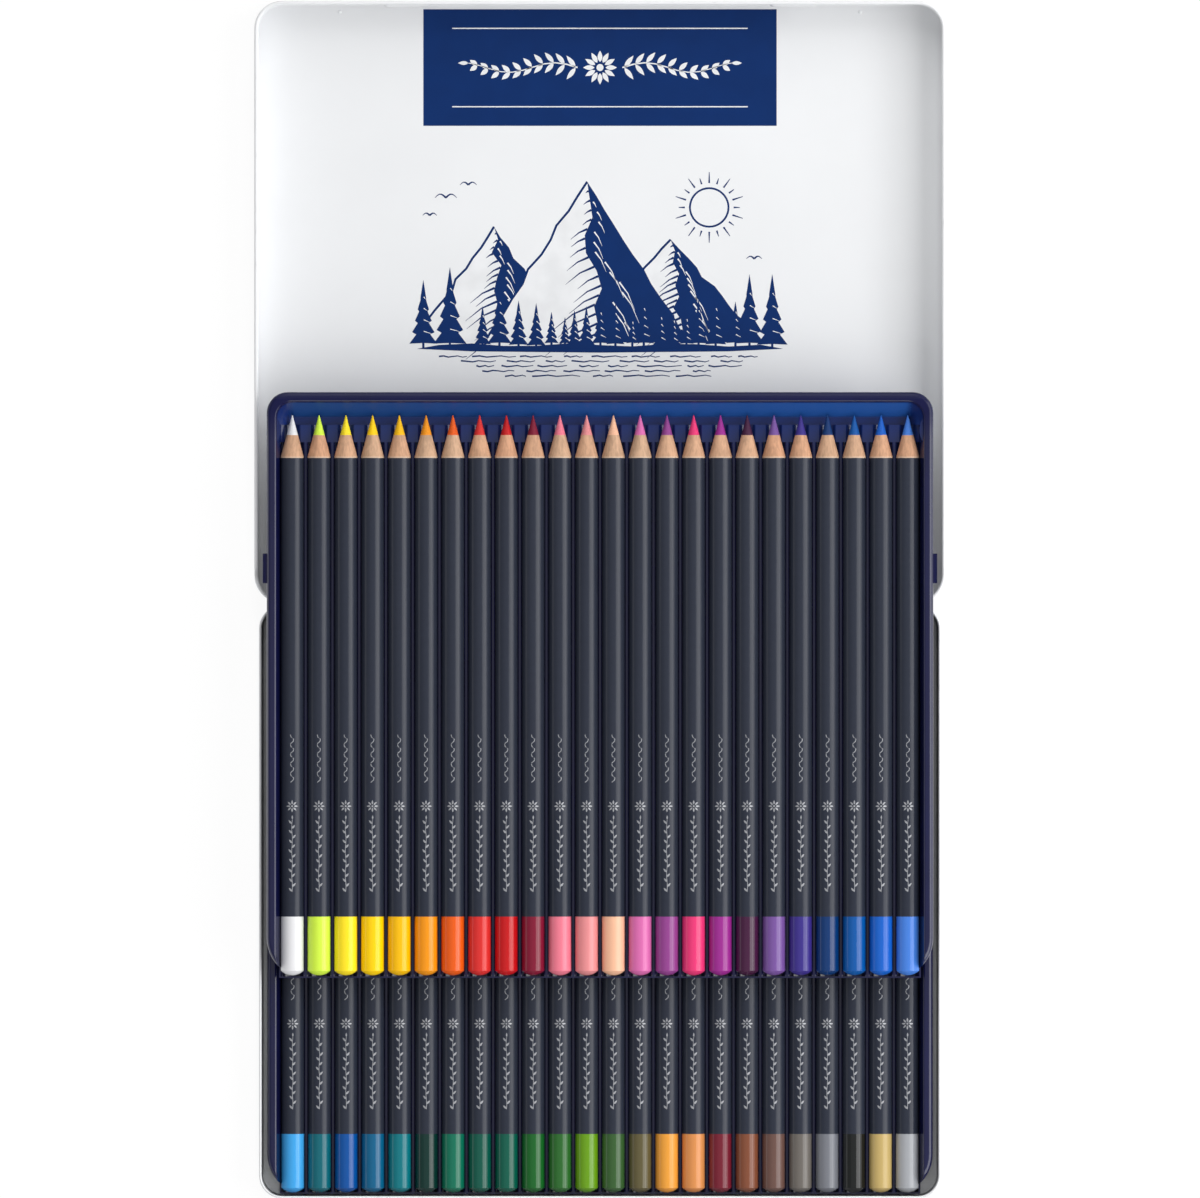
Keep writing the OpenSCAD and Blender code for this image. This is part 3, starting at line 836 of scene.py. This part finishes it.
class TIN_OT_foil(bpy.types.Operator):
    """Stamps a fine silver sprig on every barrel"""

    bl_idname = "pencil_tin.foil"
    bl_label = "Barrel foil"

    def execute(self, context):
        scene = context.scene
        foil = tuple(scene.tin_colors.foil)
        look = Finish("silver_foil")
        rub = look.place.noise(1400, detail=3)
        look.set(
            Base_Color=rub.ramp(0.25, 0.75).blend([v * 0.7 for v in foil], foil),
            Metallic=0.35,
            Roughness=0.34 + rub * 0.2,
        )
        look.bump(rub, 0.1, 0.00002)
        lift = scene.tin_sizes.print_lift * TO_MM
        for name, body in list(zip(UPPER, UPPER)) + [(name, "base") for name in LOWER]:
            sheet = Sheet(self.wrap(name, lift))
            self.sprig(sheet)
            sheet.finish(name + "_foil", body, [look.material], "pin_steel")
        return {"FINISHED"}

    def wrap(self, name, lift):
        """Places a point u along a barrel from its tail, v round it and w above it."""
        low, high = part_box(name)
        r = (high[0] - low[0]) * TO_MM / 2 + lift
        x, z = (low[0] + high[0]) * TO_MM / 2, (low[2] + high[2]) * TO_MM / 2
        tail = low[1] * TO_MM

        def place(u, v, w):
            across, up = (r + w) * math.sin(v / r), (r + w) * math.cos(v / r)
            return Vector(((x + across) * MM, (tail + u) * MM, (z + up) * MM))

        return place

    def sprig(self, sheet):
        """Along the barrel from the tail: a leafy stem, a small flower and a row of dots and dashes."""
        stem = [(26.0 + 1.5 * i, 0.12 * math.sin(i * 1.3)) for i in range(16)]
        sheet.line(stem, 0.2, 0.14)
        for i, (u, v) in enumerate(stem[:-1]):
            side = 1 if i % 2 else -1
            sheet.leaf(u + 0.1, v, 1.55, 0.62, side * 42, 4)
        sheet.leaf(stem[-1][0], stem[-1][1], 1.3, 0.5, 0, 4)
        for t in turn(8):
            sheet.leaf(52.6 + 0.5 * math.cos(t), 0.5 * math.sin(t), 1.4, 0.55, math.degrees(t), 4)
        sheet.disc(52.6, 0, 0.32, 8)
        for i in range(5):
            u = 60.0 + 3.0 * i
            sheet.line([(u, -0.5), (u + 0.7, 0.35), (u + 1.4, 0.5)], 0.24)
            sheet.line([(u + 1.4, 0.5), (u + 2.1, -0.35), (u + 2.8, -0.5)], 0.24)


# ---------- Panel ----------

PIECES = (TIN_OT_metal, TIN_OT_trays, TIN_OT_pencils, TIN_OT_panel, TIN_OT_landscape, TIN_OT_foil)


class TIN_PT_tools(bpy.types.Panel):
    """Lists the tin's pieces and settings"""

    bl_label = "Colored Pencil Tin"
    bl_idname = "TIN_PT_tools"
    bl_space_type = "VIEW_3D"
    bl_region_type = "UI"
    bl_category = "Pencil Tin"

    def draw(self, context):
        column = self.layout.column()
        for piece in (TIN_OT_stage, *PIECES):
            column.operator(piece.bl_idname)
        for group in (context.scene.tin_colors, context.scene.tin_sizes, context.scene.tin_stage):
            box = self.layout.box()
            for key in group.__annotations__:
                box.prop(group, key)


CLASSES = (TinColors, TinSizes, TinStage, TIN_OT_stage, *PIECES, TIN_PT_tools)


def register():
    for cls in CLASSES:
        bpy.utils.register_class(cls)
    bpy.types.Scene.tin_colors = bpy.props.PointerProperty(type=TinColors)
    bpy.types.Scene.tin_sizes = bpy.props.PointerProperty(type=TinSizes)
    bpy.types.Scene.tin_stage = bpy.props.PointerProperty(type=TinStage)


def unregister():
    del bpy.types.Scene.tin_stage
    del bpy.types.Scene.tin_sizes
    del bpy.types.Scene.tin_colors
    for cls in reversed(CLASSES):
        bpy.utils.unregister_class(cls)


def main():
    register()
    bpy.ops.pencil_tin.stage()
    bpy.ops.pencil_tin.metal()
    bpy.ops.pencil_tin.trays()
    bpy.ops.pencil_tin.pencils()
    bpy.ops.pencil_tin.panel()
    bpy.ops.pencil_tin.landscape()
    bpy.ops.pencil_tin.foil()


if __name__ == "__main__":
    main()
